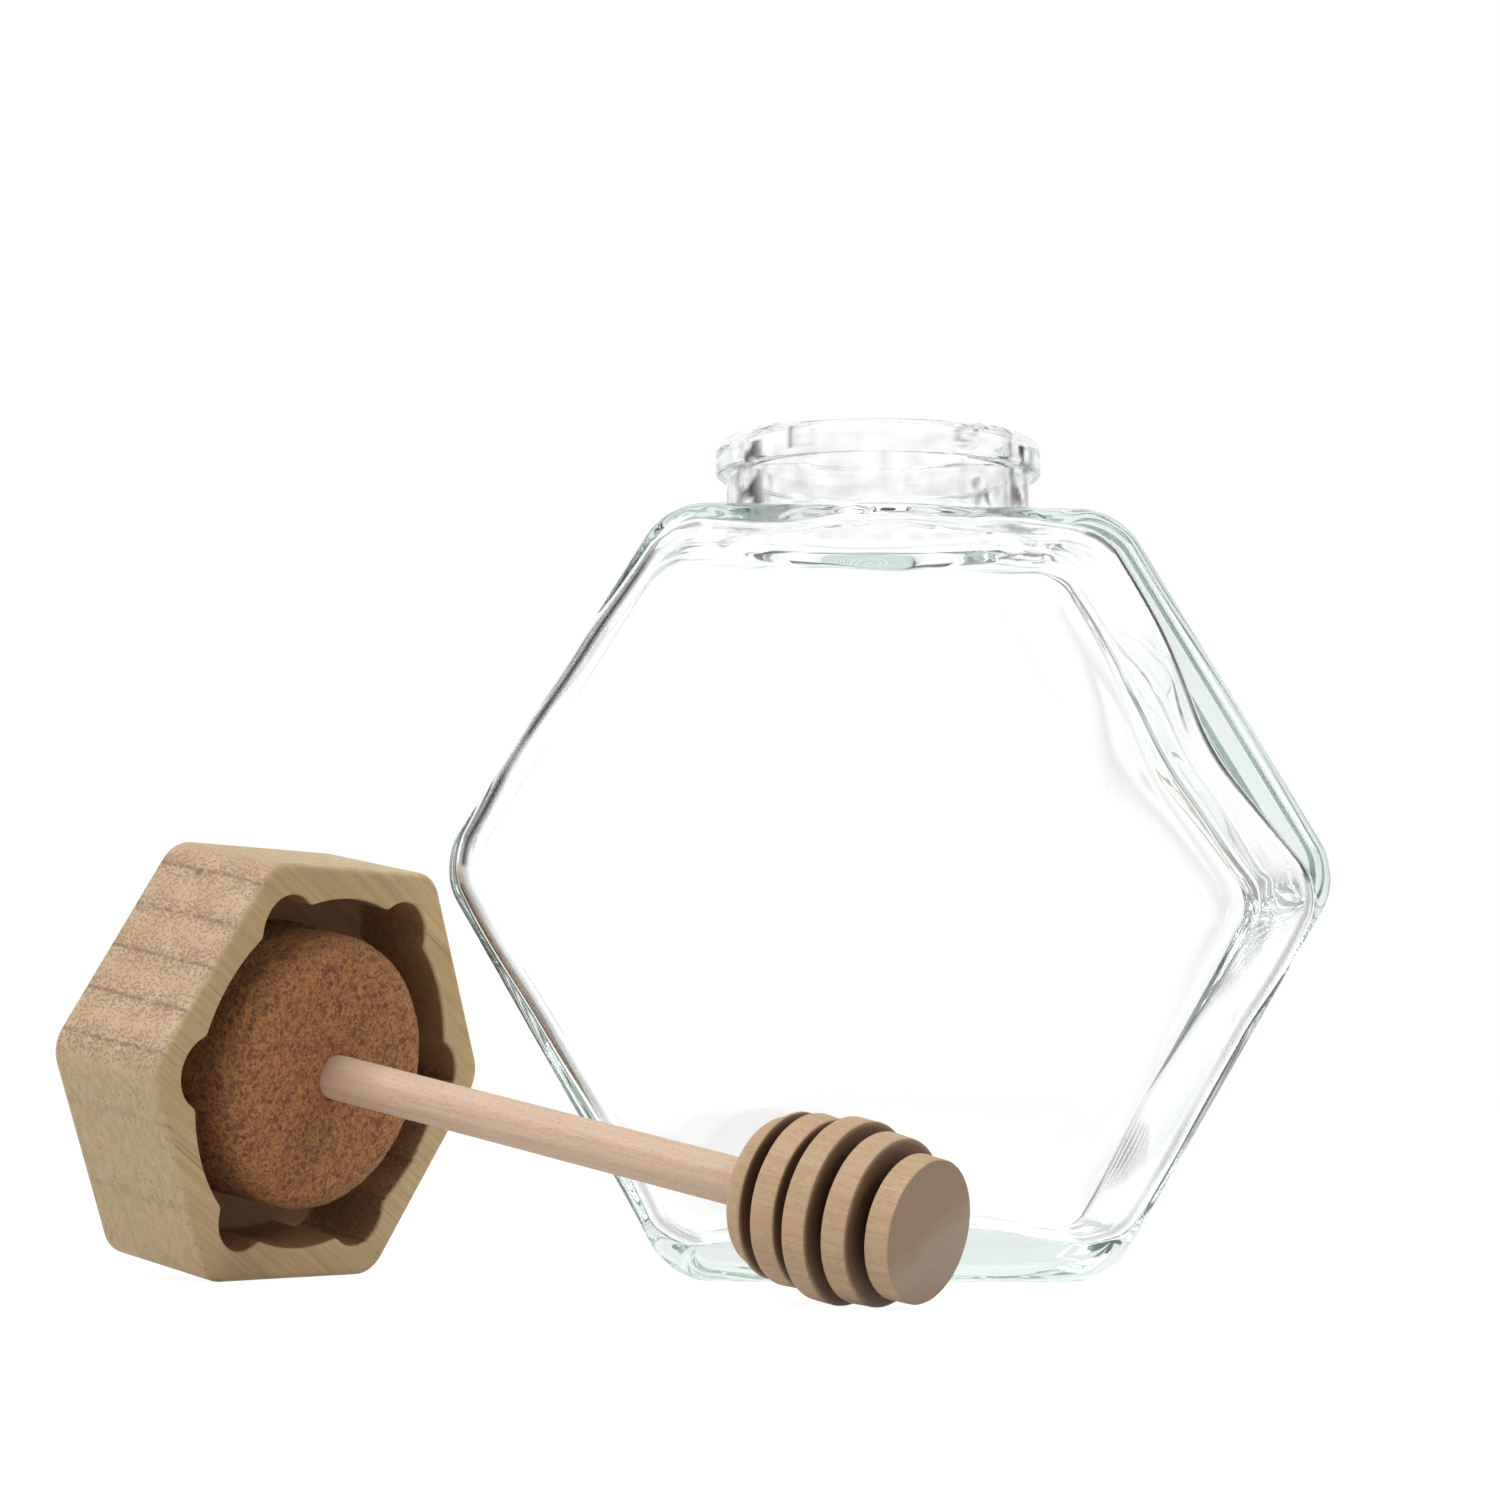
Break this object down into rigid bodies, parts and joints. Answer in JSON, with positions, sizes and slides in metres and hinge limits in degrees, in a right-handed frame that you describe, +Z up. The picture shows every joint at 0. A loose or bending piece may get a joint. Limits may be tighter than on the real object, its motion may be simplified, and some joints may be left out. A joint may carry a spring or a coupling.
{
  "type": "hexagonal honey jar",
  "caption": "Empty hexagonal glass honey jar with its bamboo lid taken off and lying beside it, a cork stopper and a grooved wooden dipper fixed in the lid.",
  "frame": {"origin": "centre of the jar's flat base", "axes": "+Z up, along the neck; the jar's two large hexagonal faces look along -Y and +Y; the lid lies on the -X side with the dipper pointing towards +X and -Y"},
  "size_m": [0.1697, 0.1182, 0.118],
  "materials": {
    "clear_glass": "polished",
    "bamboo": "sanded, unvarnished",
    "cork": "granulated, matte",
    "beech": "sanded, unvarnished"
  },
  "bodies": {
    "root": {"glass_jar": "clear_glass", "bamboo_lid": "bamboo", "cork_stopper": "cork", "honey_dipper": "beech"}
  },
  "joints": []
}
